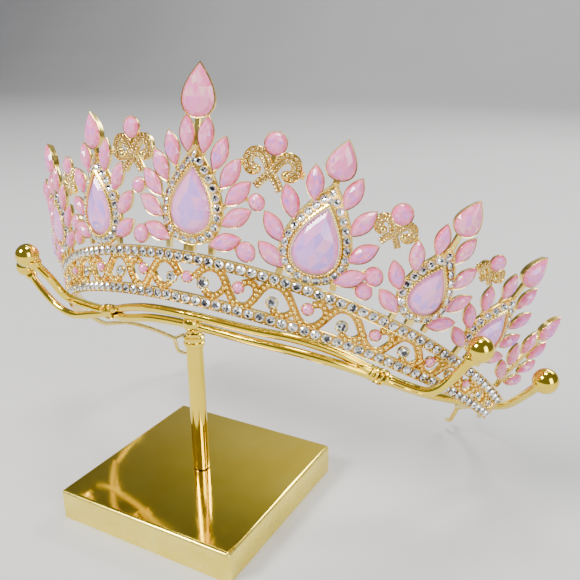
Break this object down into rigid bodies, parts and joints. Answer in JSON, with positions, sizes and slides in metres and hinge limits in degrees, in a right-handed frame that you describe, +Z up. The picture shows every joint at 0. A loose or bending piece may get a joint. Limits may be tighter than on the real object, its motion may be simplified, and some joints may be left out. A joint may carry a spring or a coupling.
{
  "type": "tiara on display stand",
  "caption": "Gilt stage tiara with pear-shaped drops of pink opal stones over an openwork band, resting on a plain gold rod cradle with post and square base.",
  "frame": {"origin": "centre of the square base, on its underside", "axes": "+Z up; -Y is the tiara's front, so X runs along its width with its wearer's left at +X; base sides lie along X and Y"},
  "size_m": [0.1978, 0.1168, 0.1411],
  "materials": {
    "tiara_gold": "polished gilt casting",
    "stand_gold": "mirror polished gold plate",
    "pink_opal_stones": "milky opal glass, cut and polished"
  },
  "bodies": {
    "root": {"drop_setting_centre": "tiara_gold", "drop_setting_first_left": "tiara_gold", "drop_setting_first_right": "tiara_gold", "drop_setting_second_left": "tiara_gold", "drop_setting_second_right": "tiara_gold", "drop_setting_third_left": "tiara_gold", "drop_setting_third_right": "tiara_gold", "drop_stone_centre": "pink_opal_stones", "drop_stone_first_left": "pink_opal_stones", "drop_stone_first_right": "pink_opal_stones", "drop_stone_second_left": "pink_opal_stones", "drop_stone_second_right": "pink_opal_stones", "drop_stone_third_left": "pink_opal_stones", "drop_stone_third_right": "pink_opal_stones", "end_fan_left": "tiara_gold", "end_fan_right": "tiara_gold", "scroll_first_left": "tiara_gold", "scroll_first_right": "tiara_gold", "scroll_second_left": "tiara_gold", "scroll_second_right": "tiara_gold", "scroll_third_left": "tiara_gold", "scroll_third_right": "tiara_gold", "stand_base": "stand_gold", "stand_cradle": "stand_gold", "stand_post": "stand_gold", "tiara_band": "tiara_gold"}
  },
  "joints": []
}
